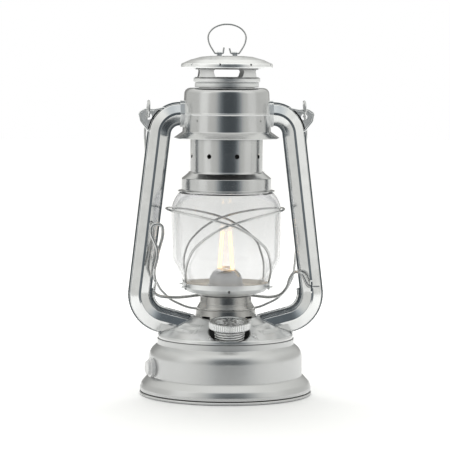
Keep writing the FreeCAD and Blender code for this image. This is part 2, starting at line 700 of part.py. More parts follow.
os.makedirs("parts", exist_ok=True)
for node, shape in build().items():
    shape.exportStep("parts/" + node + ".step")
    box = shape.BoundBox
    print(f"{node:18s} solids {len(shape.Solids)} valid {shape.isValid()} volume {shape.Volume:9.1f}"
          f" size {box.XLength:.1f} {box.YLength:.1f} {box.ZLength:.1f}")
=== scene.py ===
import json
import math

import bmesh
import bpy
from mathutils import Matrix, Vector


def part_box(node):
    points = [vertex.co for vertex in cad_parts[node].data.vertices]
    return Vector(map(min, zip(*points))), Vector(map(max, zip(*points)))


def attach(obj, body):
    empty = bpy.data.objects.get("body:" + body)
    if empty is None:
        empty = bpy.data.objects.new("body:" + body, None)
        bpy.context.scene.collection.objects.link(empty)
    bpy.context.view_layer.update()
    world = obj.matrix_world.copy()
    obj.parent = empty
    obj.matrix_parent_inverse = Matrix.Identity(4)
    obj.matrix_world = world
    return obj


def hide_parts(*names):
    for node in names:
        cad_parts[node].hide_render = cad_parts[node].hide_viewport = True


# Visual model of the barn lantern.
MM = 0.001

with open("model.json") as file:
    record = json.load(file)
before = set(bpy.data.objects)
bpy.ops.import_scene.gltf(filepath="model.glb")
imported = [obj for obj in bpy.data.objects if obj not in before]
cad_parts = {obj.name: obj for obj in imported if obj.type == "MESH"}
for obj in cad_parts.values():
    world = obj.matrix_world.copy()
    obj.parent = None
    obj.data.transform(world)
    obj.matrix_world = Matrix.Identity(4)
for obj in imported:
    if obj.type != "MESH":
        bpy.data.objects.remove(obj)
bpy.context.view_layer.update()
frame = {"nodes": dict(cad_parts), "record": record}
scene = bpy.context.scene
node_body = {n: body for body, nodes in frame["record"]["behaviour"]["bodies"].items() for n in nodes}


# ---- camera ----
VIEW_AZIMUTH = math.radians(-4.3)
VIEW_PITCH = math.radians(4.16)
VIEW_ROLL = math.radians(0.3)
VIEW_TURN = math.radians(0.03)
CAMERA_DISTANCE = 1.68
CAMERA_HEIGHT = 0.254
LENS_MM = 172.8


def make_camera():
    """Long lens at the height of the lid, a few degrees to the left and looking slightly down."""
    data = bpy.data.cameras.new("camera")
    data.lens = LENS_MM
    data.sensor_width = 36.0
    data.clip_start, data.clip_end = 0.05, 50.0
    camera = bpy.data.objects.new("camera", data)
    scene.collection.objects.link(camera)
    camera.location = (math.sin(VIEW_AZIMUTH) * CAMERA_DISTANCE,
                       -math.cos(VIEW_AZIMUTH) * CAMERA_DISTANCE, CAMERA_HEIGHT)
    turn = Matrix.Rotation(VIEW_AZIMUTH + VIEW_TURN, 4, "Z")
    tilt = Matrix.Rotation(math.radians(90) - VIEW_PITCH, 4, "X")
    roll = Matrix.Rotation(VIEW_ROLL, 4, "Z")
    camera.rotation_euler = (turn @ tilt @ roll).to_euler()
    scene.camera = camera


# ---- node helpers ----
class Nodes:
    """Short way to write a material's or a world's node tree."""

    def __init__(self, tree):
        self.tree = tree
        self.tree.nodes.clear()

    def add(self, kind, **inputs):
        node = self.tree.nodes.new(kind)
        for name, value in inputs.items():
            self.feed(node, name.replace("_", " "), value)
        return node

    def feed(self, node, name, value):
        """Links a node's output to the input, or sets a plain value on it."""
        socket = node.inputs[name]
        if isinstance(value, bpy.types.NodeSocket):
            self.tree.links.new(value, socket)
        else:
            socket.default_value = value

    def math(self, operation, a, b=0.0):
        node = self.tree.nodes.new("ShaderNodeMath")
        node.operation = operation
        self.feed(node, 0, a)
        self.feed(node, 1, b)
        return node.outputs[0]

    def vector(self, operation, a, b=(0, 0, 0)):
        node = self.tree.nodes.new("ShaderNodeVectorMath")
        node.operation = operation
        self.feed(node, 0, a)
        self.feed(node, 1, b)
        return node.outputs["Value" if operation in ("DOT_PRODUCT", "LENGTH") else "Vector"]

    def spread(self, value, low, high, to_low=0.0, to_high=1.0, smooth=False):
        """Maps low..high to to_low..to_high."""
        node = self.tree.nodes.new("ShaderNodeMapRange")
        node.interpolation_type = "SMOOTHSTEP" if smooth else "LINEAR"
        for name, number in zip(("Value", "From Min", "From Max", "To Min", "To Max"),
                                (value, low, high, to_low, to_high)):
            self.feed(node, name, number)
        return node.outputs["Result"]

    def noise(self, scale, stretch=(1, 1, 1), detail=3.0, roughness=0.5):
        """Noise in the row frame, with features that are longer along the axes that stretch shrinks."""
        place = self.add("ShaderNodeTexCoord").outputs["Object"]
        mapping = self.add("ShaderNodeMapping", Vector=place, Scale=stretch)
        return self.add("ShaderNodeTexNoise", Vector=mapping.outputs[0], Scale=scale, Detail=detail,
                        Roughness=roughness).outputs["Fac"]

    def blend(self, factor, a, b):
        """Colour a at factor 0 and colour b at factor 1."""
        node = self.tree.nodes.new("ShaderNodeMix")
        node.data_type = "RGBA"
        for index, value in ((0, factor), (6, a), (7, b)):
            self.feed(node, index, value)
        return node.outputs[2]


def grey(level, tint=(1.0, 1.0, 1.0)):
    """Colour of one level, which a tint may lean a little to warm or cool."""
    return (level * tint[0], level * tint[1], level * tint[2], 1.0)


materials = {}


def new_material(name):
    """Adds a material with an empty Principled shader to materials, under its name."""
    material = bpy.data.materials.new(name)
    materials[name] = material
    material.use_nodes = True
    nodes = Nodes(material.node_tree)
    output = nodes.add("ShaderNodeOutputMaterial")
    shader = nodes.add("ShaderNodeBsdfPrincipled")
    material.node_tree.links.new(shader.outputs[0], output.inputs["Surface"])
    return nodes, shader


COOL = (0.985, 0.995, 0.995)  # tin plate is faintly blue-green
CLOUD_SHARE = 0.6  # how much of the steel's change of tone is clouds; the rest is grain
GRAIN_DEPTH = 0.0001


def steel(name, dark, light, rough_low, rough_high, grain=900.0, streak=(1, 1, 1), bump=0.1,
          blotch=60.0, tint=COOL):
    """Tin-plated sheet: cloudy plating, fine drawn grain, and roughness that goes with the clouds."""
    nodes, shader = new_material(name)
    clouds = nodes.noise(blotch, detail=4.0, roughness=0.6)
    fine = nodes.noise(grain, streak, detail=2.0)
    clouds_spread = nodes.spread(clouds, 0.3, 0.7)
    both = nodes.math("ADD", nodes.math("MULTIPLY", clouds_spread, CLOUD_SHARE),
                      nodes.math("MULTIPLY", fine, 1.0 - CLOUD_SHARE))
    nodes.feed(shader, "Base Color", nodes.blend(both, grey(dark, tint), grey(light, tint)))
    nodes.feed(shader, "Metallic", 1.0)
    nodes.feed(shader, "Roughness", nodes.spread(both, 0.2, 0.8, rough_low, rough_high))
    relief = nodes.add("ShaderNodeBump", Strength=bump, Distance=GRAIN_DEPTH, Height=fine)
    nodes.feed(shader, "Normal", relief.outputs[0])


def plain(name, dark, light, roughness, metallic=0.0, scale=300.0, bump=0.05, glow=0.0):
    """Moulded or painted surface with a faint change of tone; glow is painted light, a warm emission standing
    in for the lamp's light caught inside the globe.
    """
    nodes, shader = new_material(name)
    grain = nodes.noise(scale, detail=3.0)
    nodes.feed(shader, "Base Color", nodes.blend(grain, (*dark, 1.0), (*light, 1.0)))
    nodes.feed(shader, "Metallic", metallic)
    nodes.feed(shader, "Roughness", nodes.spread(grain, 0.3, 0.7, roughness * 0.9, roughness * 1.1))
    shader.inputs["Emission Color"].default_value = (1.0, 0.93, 0.82, 1.0)
    shader.inputs["Emission Strength"].default_value = glow
    relief = nodes.add("ShaderNodeBump", Strength=bump, Distance=GRAIN_DEPTH, Height=grain)
    nodes.feed(shader, "Normal", relief.outputs[0])


def glass(name, tint, roughness, ior):
    """Clear blown glass with a slow unevenness in its surface."""
    nodes, shader = new_material(name)
    waves = nodes.noise(14.0, (1, 1, 0.4), detail=1.0)
    nodes.feed(shader, "Base Color", nodes.blend(waves, (*tint, 1.0), grey(0.875)))
    shader.inputs["Transmission Weight"].default_value = 1.0
    shader.inputs["Roughness"].default_value = roughness
    shader.inputs["IOR"].default_value = ior
    relief = nodes.add("ShaderNodeBump", Strength=0.12, Distance=0.002, Height=waves)
    nodes.feed(shader, "Normal", relief.outputs[0])


def lit_glass(name):
    """Clear lamp envelope that carries a little of the filaments' warm light."""
    nodes, shader = new_material(name)
    haze = nodes.noise(60.0, (1, 1, 0.3), detail=2.0)
    nodes.feed(shader, "Base Color", nodes.blend(haze, grey(0.96), grey(1.0)))
    nodes.feed(shader, "Emission Color", nodes.blend(haze, (1.0, 0.58, 0.30, 1.0), (1.0, 0.66, 0.38, 1.0)))
    shader.inputs["Emission Strength"].default_value = 0.05
    shader.inputs["Transmission Weight"].default_value = 1.0
    shader.inputs["Roughness"].default_value = 0.0
    shader.inputs["IOR"].default_value = 1.04


def filament(name):
    """Glowing strip of small warm light sources."""
    nodes, shader = new_material(name)
    dots = nodes.noise(700.0, (0.2, 0.2, 1.0), detail=1.0)
    nodes.feed(shader, "Base Color", (1.0, 0.75, 0.35, 1.0))
    nodes.feed(shader, "Emission Color", nodes.blend(dots, (1.0, 0.60, 0.26, 1.0), (1.0, 0.70, 0.36, 1.0)))
    nodes.feed(shader, "Emission Strength", 2.6)
    shader.inputs["Roughness"].default_value = 0.5


steel("hood_steel", 0.56, 0.62, 0.19, 0.23, grain=700.0, streak=(1, 1, 0.04), bump=0.01)
steel("gallery_steel", 0.37, 0.45, 0.22, 0.28, grain=700.0, streak=(1, 1, 0.04), bump=0.015,
      tint=(1.0, 0.99, 0.96))
steel("bowl_steel", 0.55, 0.60, 0.30, 0.35, grain=900.0, bump=0.015, blotch=18.0)
steel("dome_steel", 0.66, 0.73, 0.27, 0.33, grain=900.0, bump=0.01, blotch=40.0)
steel("burner_steel", 0.70, 0.78, 0.42, 0.50, grain=900.0, bump=0.02, blotch=40.0)
steel("plate_steel", 0.74, 0.86, 0.40, 0.50, grain=500.0, bump=0.03, blotch=100.0)
steel("lid_steel", 0.88, 0.94, 0.28, 0.34, grain=500.0, bump=0.03, blotch=100.0)
# painted light: the inside of the globe plate and of the burner dome glows warm, an emission standing in for
# the lamp's light on them
plain("plate_inside_painted_glow", (0.62, 0.60, 0.57), (0.70, 0.68, 0.65), 0.4, metallic=0.35, glow=0.3)
steel("satin_steel", 0.74, 0.88, 0.50, 0.62, grain=500.0, bump=0.05)
# painted shade: a dark copy of the steel for the inner faces of sheets, the lid liner, a seam ring, thread
# roots and the backs of the vent holes, where shade falls
steel("painted_shade_steel", 0.14, 0.22, 0.42, 0.55, grain=500.0, bump=0.05)
# painted shade: darkened steel for the walls of the filler well, which lie in shade
steel("painted_shade_well_steel", 0.24, 0.34, 0.42, 0.55, grain=500.0, bump=0.05)
steel("tube_steel", 0.74, 0.88, 0.08, 0.16, grain=260.0, streak=(1, 1, 0.12), bump=0.03, blotch=80.0)
steel("wire_steel", 0.52, 0.64, 0.16, 0.24, grain=500.0, bump=0.03, blotch=200.0)
steel("cap_nickel", 0.66, 0.78, 0.16, 0.24, grain=700.0, bump=0.03, blotch=150.0)
steel("spring_steel", 0.40, 0.50, 0.25, 0.35)
glass("clear_glass", (0.79, 0.792, 0.795), 0.0, 1.45)
lit_glass("lamp_glass")
filament("warm_filament")
plain("pale_plastic", (0.70, 0.70, 0.70), (0.76, 0.76, 0.76), 0.35)
plain("dark_plastic", (0.03, 0.03, 0.03), (0.05, 0.05, 0.05), 0.45)
plain("cell_wrap", (0.05, 0.12, 0.35), (0.07, 0.16, 0.42), 0.3)
plain("circuit_board", (0.02, 0.16, 0.07), (0.03, 0.22, 0.10), 0.4)
plain("black_rubber", (0.02, 0.02, 0.02), (0.035, 0.035, 0.035), 0.7)
plain("lead_insulation", (0.30, 0.03, 0.02), (0.38, 0.04, 0.03), 0.4)

NODE_MATERIAL = {
    "bowl_steel": ["base_pan", "tank_bowl", "pan_bosses"],
    "painted_shade_steel": ["lid_liner"],
    "painted_shade_well_steel": ["filler_well"],
    "dome_steel": ["tank_dome", "globe_plate", "left_tube_saddle", "right_tube_saddle"],
    "lid_steel": ["lid", "vent_ring", "ring_loops", "lid_ring", "left_tube_collar", "right_tube_collar"],
    "hood_steel": ["hood", "chimney_cylinder", "globe_collar", "burner_gallery", "burner_tube",
                   "burner_dome"],
    "tube_steel": ["left_tube_front", "left_tube_back", "right_tube_front", "right_tube_back",
                   "lever_clip"],
    "wire_steel": ["bail", "lift_lever", "guard_wire_left", "guard_wire_right", "base_screws"],
    "cap_nickel": ["filler_cap", "filler_neck", "charging_socket"],
    "spring_steel": ["chimney_spring", "button_spring"],
    "clear_glass": ["globe"],
    "lamp_glass": ["lamp_envelope", "lamp_stem"],
    "warm_filament": ["lamp_filaments"],
    "pale_plastic": ["power_button", "switch_bezel"],
    "dark_plastic": ["lamp_socket", "battery_holder", "switch_body", "port_insert"],
    "cell_wrap": ["battery_cell"],
    "circuit_board": ["control_board"],
    "black_rubber": ["cap_seal"],
    "lead_insulation": ["lamp_leads", "charge_lead", "switch_lead"],
}


def paint(obj, name):
    """Gives the whole piece one material."""
    obj.data.materials.clear()
    obj.data.materials.append(materials[name])


for material_name, members in NODE_MATERIAL.items():
    for member in members:
        paint(frame["nodes"][member], material_name)


# ---- mesh helpers (shapes are given in millimetres) ----
CORNER_STEP = math.radians(8)
SHARP = math.radians(38)  # edges that turn by more than this stay crisp
SHEET = 0.7
BOX_SLACK = 0.0006  # how far, in metres, a piece may pass the box of the CAD node that it replaces


def corner_arc(before, corner, after, radius, step):
    """Points of the arc that rounds one corner of a line."""
    u, v = (before - corner).normalized(), (after - corner).normalized()
    angle = u.angle(v)
    if radius <= 0 or math.pi - angle < math.radians(0.5):
        return [corner]
    reach = radius / math.tan(angle / 2)
    centre = corner + (u + v).normalized() * (radius / math.sin(angle / 2))
    first, last = corner + u * reach - centre, corner + v * reach - centre
    turn = math.pi - angle
    count = max(2, math.ceil(turn / step))
    spin_axis = first.cross(last).normalized()
    return [centre + Matrix.Rotation(turn * k / count, 3, spin_axis) @ first for k in range(count + 1)]


def soften(points, radii, closed=False, step=CORNER_STEP):
    """The line with every inner corner rounded by its radius."""
    points = [Vector(p) for p in points]
    inner = range(len(points)) if closed else range(1, len(points) - 1)
    if not isinstance(radii, (list, tuple)):
        radii = [radii] * len(inner)
    line = [] if closed else [points[0]]
    for index, radius in zip(inner, radii):
        line += corner_arc(points[index - 1], points[index], points[(index + 1) % len(points)], radius, step)
    return line if closed else line + [points[-1]]


def soft_radii(points, share=0.45):
    """The largest corner radii that a chain of runs leaves room for."""
    points = [Vector(p) for p in points]
    radii = []
    for a, p, b in zip(points, points[1:], points[2:]):
        turn = math.pi - (a - p).angle(b - p)
        radii.append(share * min((a - p).length, (b - p).length) / math.tan(turn / 2))
    return radii


def moved_aside(path, distance):
    """An open (radius, height) path moved to its left, with mitred corners."""
    points = [Vector((r, z)) for r, z in path]
    lines = []
    for a, b in zip(points, points[1:]):
        run = (b - a).normalized()
        left = Vector((-run.y, run.x)) * distance
        lines.append((a + left, run))
    moved = [lines[0][0]]
    for (p, u), (q, v) in zip(lines, lines[1:]):
        cross = u.x * v.y - u.y * v.x
        along = ((q - p).x * v.y - (q - p).y * v.x) / cross if abs(cross) > 1e-6 else 0.0
        moved.append(p + u * along if abs(cross) > 1e-6 else q)
    end_run = lines[-1][1]
    moved.append(points[-1] + Vector((-end_run.y, end_run.x)) * distance)
    return [(p.x, p.y) for p in moved]


def sheet_outline(path, radii, thickness):
    """Outer and inner (radius, height) lines of a bent sheet whose outer line is the path."""
    inside = moved_aside(path, thickness)
    inner_radii = []
    for (a, p, b), radius in zip(zip(path, path[1:], path[2:]), radii):
        left_turn = (p[0] - a[0]) * (b[1] - p[1]) - (p[1] - a[1]) * (b[0] - p[0]) > 0
        inner_radii.append(max(0.05, radius - thickness) if left_turn else radius + thickness)
    outer = soften([(r, 0, z) for r, z in path], radii)
    back = soften([(r, 0, z) for r, z in inside], inner_radii)
    return [(p.x, p.z) for p in outer], [(p.x, p.z) for p in reversed(back)]


def finish_mesh(name, work, *used):
    """Turns the finished bmesh into an object with the named materials."""
    bmesh.ops.remove_doubles(work, verts=work.verts, dist=2e-6)
    bmesh.ops.recalc_face_normals(work, faces=work.faces)
    mesh = bpy.data.meshes.new(name)
    work.to_mesh(mesh)
    work.free()
    for polygon in mesh.polygons:
        polygon.use_smooth = True
    mesh.set_sharp_from_angle(angle=SHARP)
    for material in used:
        mesh.materials.append(materials[material])
    obj = bpy.data.objects.new(name, mesh)
    scene.collection.objects.link(obj)
    return obj


def spin(name, outline, *used, segments=192, field=None, place=None, pick=None):
    """Turned piece from a closed outline.

    field(radius, angle, height) moves a point before it is placed, and pick(ring, angle) is the number of
    the material that a face takes.
    """
    work = bmesh.new()
    rings = []
    for r, z in outline:
        count = 1 if r < 1e-4 else segments
        made = []
        for k in range(count):
            angle = 2 * math.pi * k / segments
            radius, height = field(r, angle, z) if field else (r, z)
            point = Vector((radius * math.cos(angle), radius * math.sin(angle), height)) * MM
            made.append(work.verts.new(place @ point if place else point))
        rings.append(made)
    for index, (a, b) in enumerate(zip(rings, rings[1:] + rings[:1])):
        if len(a) == 1 and len(b) == 1:
            continue
        for k in range(segments):
            after = (k + 1) % segments
            corners = [a[k % len(a)], a[after % len(a)], b[after % len(b)], b[k % len(b)]]
            face = work.faces.new(list(dict.fromkeys(corners)))
            face.material_index = pick(index, 2 * math.pi * (k + 0.5) / segments) if pick else 0
    return finish_mesh(name, work, *used)


def spun_sheet(name, path, radii, material, thickness=SHEET, inside="painted_shade_steel", **options):
    """Spun shell from its outer line; the faces of its inner side take the inside material, by default the
    dark steel of painted shade.
    """
    outer, back = sheet_outline(path, radii, thickness)
    last = len(outer) + len(back) - 1
    return spin(name, outer + back, material, inside, pick=lambda ring, angle: int(len(outer) <= ring < last),
                **options)


def wire(name, points, radius, material, radii=None):
    """Round wire bent along straight runs and smooth arcs."""
    line = soften(points, radii or soft_radii(points), step=math.radians(6))
    curve = bpy.data.curves.new(name, "CURVE")
    curve.dimensions = "3D"
    curve.bevel_depth = radius * MM
    curve.bevel_resolution = 5
    curve.use_fill_caps = True
    spline = curve.splines.new("POLY")
    spline.points.add(len(line) - 1)
    for target, point in zip(spline.points, line):
        target.co = (*(point * MM), 1.0)
    holder = bpy.data.objects.new(name, curve)
    mesh = bpy.data.meshes.new_from_object(holder)
    bpy.data.objects.remove(holder)
    work = bmesh.new()
    work.from_mesh(mesh)
    return finish_mesh(name, work, material)


def add_prism(work, outline, direction):
    """Adds the closed prism that the outline sweeps along the direction."""
    near = [work.verts.new(Vector(p) * MM) for p in outline]
    far = [work.verts.new((Vector(p) + Vector(direction)) * MM) for p in outline]
    work.faces.new(near)
    work.faces.new(far[::-1])
    for k in range(len(near)):
        after = (k + 1) % len(near)
        work.faces.new([near[k], near[after], far[after], far[k]])


def round_outline(centre, across, up, radius, count=28):
    """Circle about the centre in the plane of the two directions."""
    centre, across, up = Vector(centre), Vector(across).normalized(), Vector(up).normalized()
    return [centre + radius * (math.cos(2 * math.pi * k / count) * across
                               + math.sin(2 * math.pi * k / count) * up) for k in range(count)]


def radial_hole(radius, angle, near, far, height):
    """Outline and direction of a round hole that points away from the Z axis."""
    out = Vector((math.cos(angle), math.sin(angle), 0))
    side = Vector((-math.sin(angle), math.cos(angle), 0))
    return round_outline(out * near + Vector((0, 0, height)), side, (0, 0, 1), radius), out * (far - near)


def cut(obj, prisms):
    """Cuts each (outline, direction) prism out of the piece."""
    work = bmesh.new()
    for outline, direction in prisms:
        add_prism(work, outline, direction)
    cutter = finish_mesh("cutter", work, "hood_steel")
    cut_by(obj, cutter)


def cut_by(obj, cutter):
    """Takes the cutter's volume out of the piece and removes the cutter."""
    modifier = obj.modifiers.new("cut", "BOOLEAN")
    modifier.operation = "DIFFERENCE"
    modifier.solver = "EXACT"
    modifier.object = cutter
    bpy.context.view_layer.update()
    cleaned = bpy.data.meshes.new_from_object(obj.evaluated_get(bpy.context.evaluated_depsgraph_get()))
    obj.modifiers.clear()
    obj.data = cleaned
    bpy.data.objects.remove(cutter)
    cleaned.set_sharp_from_angle(angle=SHARP)


def stand_in(obj, node, slack=BOX_SLACK):
    """obj takes the place of the CAD node, on its body, after a look that it keeps to the node's box."""
    low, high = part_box(node)
    points = [v.co for v in obj.data.vertices]
    for axis in range(3):
        below = low[axis] - min(p[axis] for p in points)
        above = max(p[axis] for p in points) - high[axis]
        if max(below, above) > slack:
            raise ValueError(f"{obj.name} leaves its CAD box by {max(below, above) / MM:.2f} mm")
    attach(obj, node_body[node])
    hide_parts(node)


# ---- tank ----
BUTTON_TURN = math.radians(15)
BUTTON_Z = 22.4
BUTTON_HOLE = 6.35
DOME_EDGE = Vector((52.6, 46.6))
DOME_TOP = Vector((23.8, 60.4))
DOME_STEPS = 48
RELIEF_HEIGHT = 0.6
RELIEF_PITCH_DEG = 4.6
NECK_TILT = Matrix.Rotation(math.radians(8), 4, "X")
NECK_PLACE = Matrix.Translation(Vector((0.0, -38.6, 45.4)) * MM) @ NECK_TILT


def bump_between(value, low, high, soft):
    """1 between low and high, falling smoothly to 0 over soft on each side."""
    rise = max(0.0, min(1.0, (value - low) / soft + 0.5))
    fall = max(0.0, min(1.0, (high - value) / soft + 0.5))
    ease = min(rise, fall)
    return ease * ease * (3 - 2 * ease)


def make_tank():
    """Base pan, and the bowl with its foot band and the hole for the button."""
    pan = [(0.0, 2.0), (64.4, 2.0), (65.1, 0.0), (66.6, 0.0), (67.2, 0.8), (67.2, 1.5), (66.7, 2.1)]
    base = spun_sheet("base_pan_formed", pan, [0.6, 0.6, 0.6, 0.4, 0.4], "bowl_steel", segments=256)
    stand_in(base, "base_pan")

    bowl_path = [(65.9, 2.2), (66.1, 2.5), (66.8, 3.1), (66.8, 5.6), (65.4, 9.4), (61.2, 14.0),
                 (59.8, 14.9), (59.8, 34.2), (53.4, 39.3), (53.4, 43.5)]
    radii = [0.1, 0.3, 2.2, 4.0, 3.0, 0.4, 10.5, 1.0]
    bowl = spun_sheet("tank_bowl_pressed", bowl_path, radii, "bowl_steel", segments=256)
    axis = Vector((-math.cos(BUTTON_TURN), -math.sin(BUTTON_TURN), 0))
    hole = round_outline(axis * 45 + Vector((0, 0, BUTTON_Z)), (axis.y, -axis.x, 0), (0, 0, 1), BUTTON_HOLE)
    cut(bowl, [(hole, axis * 25)])
    stand_in(bowl, "tank_bowl")


def dome_relief(radius, angle, height):
    """Two plain bands of pressed bars on the front of the dome, one each side of the cap."""
    if height < 47.0 or not 30.5 < radius < 47.5:
        return radius, height
    from_front = abs((angle + math.pi / 2 + math.pi) % (2 * math.pi) - math.pi)
    sector = bump_between(math.degrees(from_front), 34, 76, 3)
    band = max(bump_between(radius, 40.2, 44.6, 1.4), bump_between(radius, 33.0, 36.4, 1.4))
    wave = 0.5 - 0.5 * math.cos(math.degrees(angle) * 2 * math.pi / RELIEF_PITCH_DEG)
    return radius, height + RELIEF_HEIGHT * sector * band * wave


def make_dome():
    """Cone with the opening for the filler well, and the skirt that plugs it into the bowl."""
    slope = [tuple(DOME_EDGE.lerp(DOME_TOP, k / DOME_STEPS)) for k in range(DOME_STEPS + 1)]
    path = [(DOME_EDGE.x, 40.5)] + slope + [(20.2, 60.7)]
    radii = [1.2] + [0.0] * DOME_STEPS
    dome = spun_sheet("tank_dome_pressed", path, radii, "dome_steel", segments=432, field=dome_relief)
    cone = spin("cutter", [(0, -0.7), (13.95, -0.7), (21.4, 20), (0, 20)], "dome_steel", segments=96,
                place=NECK_PLACE)
    cut_by(dome, cone)
    work = bmesh.new()
    work.from_mesh(dome.data)
    skirt_line = [(52.65, 40.6), (52.65, 43.55), (52.65, 44.25), (52.65, 46.2), (52.5, 46.45), (52.1, 46.4),
                  (52.0, 40.6)]
    # painted shade: one ring of the skirt takes the dark steel, painting the shade in the seam where the
    # skirt meets the bowl
    painted_shade_seam = 1
    skirt = spin("skirt", skirt_line, "dome_steel", "painted_shade_steel", segments=256,
                 pick=lambda ring, angle: int(ring == painted_shade_seam))
    work.from_mesh(skirt.data)
    bpy.data.objects.remove(skirt)
    work.to_mesh(dome.data)
    work.free()
    stand_in(dome, "tank_dome")


def make_filler():
    """Threaded neck and knurled cap, both on the tilted axis of the well."""
    thread_pitch, ridge = 1.9, 0.7

    def helix(radius, angle, height):
        if radius < 11 or not 0.9 < height < 10.4:
            return radius, height
        phase = (height / thread_pitch - angle / (2 * math.pi)) % 1.0
        fade = bump_between(height, 1.3, 10.0, 0.8)
        return radius + ridge * fade * bump_between(phase, 0.25, 0.75, 0.35), height

    wall = [(11.2, 0.05 + 13.75 * k / 126) for k in range(127)]

    # painted shade: faces at the roots of the thread take the dark steel
    def painted_root_shade(ring, angle):
        if ring >= len(wall):
            return 0
        return int(helix(11.2, angle, wall[ring][1])[0] < 11.3)

    neck = spin("filler_neck_threaded", wall + [(10.0, 13.8), (10.0, -1.6), (10.25, -1.6), (10.25, 0.05)],
                "cap_nickel", "painted_shade_steel", segments=128, field=helix, place=NECK_PLACE, pick=painted_root_shade)
    stand_in(neck, "filler_neck")

    teeth, tooth_depth = 54, 0.85

    def tooth_gap(angle):
        """0 on the crest of a tooth and 1 at the bottom of the gap beside it."""
        return bump_between(abs(((angle * teeth / (2 * math.pi)) % 1.0) - 0.5) * 2, 0.5, 2, 0.45)

    def knurl(radius, angle, height):
        if radius > 15.0 and 11.1 < height < 15.6:
            return radius - tooth_depth * tooth_gap(angle), height
        if height > 15.1 and radius < 12.8:
            petals = max(0.0, math.cos(angle * 12)) ** 0.7
            pressed = 0.5 * petals * bump_between(radius, 5.6, 10.6, 1.0)
            return radius, height + pressed + 0.4 * bump_between(radius, 1.4, 3.6, 0.8)
        return radius, height

    side = [(15.2, 10.6), (15.7, 10.8), (15.95, 11.2)]
    side += [(15.95, 11.2 + 4.3 * k / 6) for k in range(1, 7)]
    rim = [(15.8, 15.8), (15.4, 16.0), (14.2, 16.0), (13.7, 15.8), (13.4, 15.4)]
    top = [(13.2 - 13.2 * k / 40, 15.35) for k in range(41)]
    under = [(0, 14.7), (12.2, 14.7), (12.4, 14.5), (12.4, 10.6)]
    cap = spin("filler_cap_knurled", side + rim + top + under, "cap_nickel", segments=432, field=knurl,
               place=NECK_PLACE)
    stand_in(cap, "filler_cap")


# ---- burner and lamp ----
SLIT_TURN = Matrix.Rotation(math.radians(-35), 3, "Z")
SLIT_HALF = 2.2
FILAMENT_RADIUS = 1.25


def make_burner():
    """Gallery, slit dome, flattened lamp envelope and the two filaments in it."""
    path = [(23.9, 60.0), (23.1, 66.0), (22.2, 66.6), (22.6, 67.5), (20.3, 71.4), (19.7, 76.0), (19.6, 76.8),
            (14.05, 76.8)]
    gallery = spun_sheet("burner_gallery_drawn", path, [0.4, 0.25, 0.5, 3.0, 3.0, 0.4], "gallery_steel")
    slots = []
    for quarter in range(4):
        turn = Matrix.Rotation(math.radians(45 + 90 * quarter), 3, "Z")
        corners = [(20, -4, 58.9), (20, 4, 58.9), (20, 4, 61.9), (20, -4, 61.9)]
        slots.append(([turn @ Vector(c) for c in corners], turn @ Vector((8, 0, 0))))
    cut(gallery, slots)
    stand_in(gallery, "burner_gallery")

    dome_path = [(14.5, 85.3), (13.2, 85.9), (12.7, 91.4), (9.8, 96.1), (5.2, 98.6), (0.0, 98.7)]
    dome = spun_sheet("burner_dome_slit", dome_path, [0.5, 9.0, 9.0, 9.0], "burner_steel", 0.6,
                      "plate_inside_painted_glow")
    corners = [(-20, -SLIT_HALF, 92), (-20, SLIT_HALF, 92), (-20, SLIT_HALF, 104), (-20, -SLIT_HALF, 104)]
    cut(dome, [([SLIT_TURN @ Vector(c) for c in corners], SLIT_TURN @ Vector((40, 0, 0)))])
    stand_in(dome, "burner_dome")

    flat = SLIT_TURN.to_4x4() @ Matrix.Diagonal((1.0, 0.25, 1.0, 1.0))
    envelope = spun_sheet("lamp_envelope_blown", [(8.4, 92.8), (9.0, 97.0), (6.4, 130.4), (0.0, 130.4)],
                          [6.0, 2.4], "lamp_glass", 0.8, "lamp_glass", segments=96, place=flat)
    stand_in(envelope, "lamp_envelope")

    bars = bmesh.new()
    for side in (-1, 1):
        foot, tip = Vector((side * 5.9, 0, 97.2)), Vector((side * 3.2, 0, 126.4))
        outline = [SLIT_TURN @ p for p in round_outline(foot, (1, 0, 0), (0, 1, 0), FILAMENT_RADIUS, 16)]
        add_prism(bars, outline, SLIT_TURN @ (tip - foot))
    lit = finish_mesh("lamp_filaments_lit", bars, "warm_filament")
    stand_in(lit, "lamp_filaments")


# ---- globe ----
VENT_Z = 82.6
LUG_SIDES = 24
GUARD_WIRE = 0.92


def make_globe():
    """Globe plate with its vents and lugs, and the blown globe that stands in it."""
    path = [(14.9, 83.2), (14.9, 77.6), (21.0, 77.6), (30.2, 80.2), (33.6, 83.4), (33.6, 87.0)]
    plate = spun_sheet("globe_plate_dish", path, [0.4, 2.0, 3.0, 1.0], "plate_steel", inside="plate_inside_painted_glow")
    vent_angles = [math.radians(-90 + 90 * k) for k in range(4)]
    cut(plate, [radial_hole(1.0, angle, 30, 40, VENT_Z) for angle in vent_angles])
    lugs = bmesh.new()
    lugs.from_mesh(plate.data)
    for sx in (-1, 1):
        for sy in (-1, 1):
            add_lug(lugs, sx * 32.3, sy * 14.0)
    # painted shade: a dark disc behind each vent hole, so the hole reads as shaded
    faces_before = len(lugs.faces)
    for angle in vent_angles:
        add_prism(lugs, *radial_hole(1.3, angle, 31.4, 32.0, VENT_Z))
    lugs.faces.ensure_lookup_table()
    painted_shade_slot = 2
    for face in lugs.faces[faces_before:]:
        face.material_index = painted_shade_slot
    lugs.to_mesh(plate.data)
    lugs.free()
    for polygon in plate.data.polygons:
        polygon.use_smooth = True
    plate.data.set_sharp_from_angle(angle=SHARP)
    plate.data.materials.append(materials["painted_shade_steel"])
    stand_in(plate, "globe_plate")

    glass_path = [(31.6, 83.9), (31.6, 86.8), (42.6, 105.3), (42.6, 150.0), (36.4, 157.4), (33.3, 158.0),
                  (33.3, 164.0)]
    blown = spun_sheet("globe_blown", glass_path, [1.6, 12.0, 20.0, 1.2, 0.6], "clear_glass", 1.3,
                       "clear_glass")
    stand_in(blown, "globe")


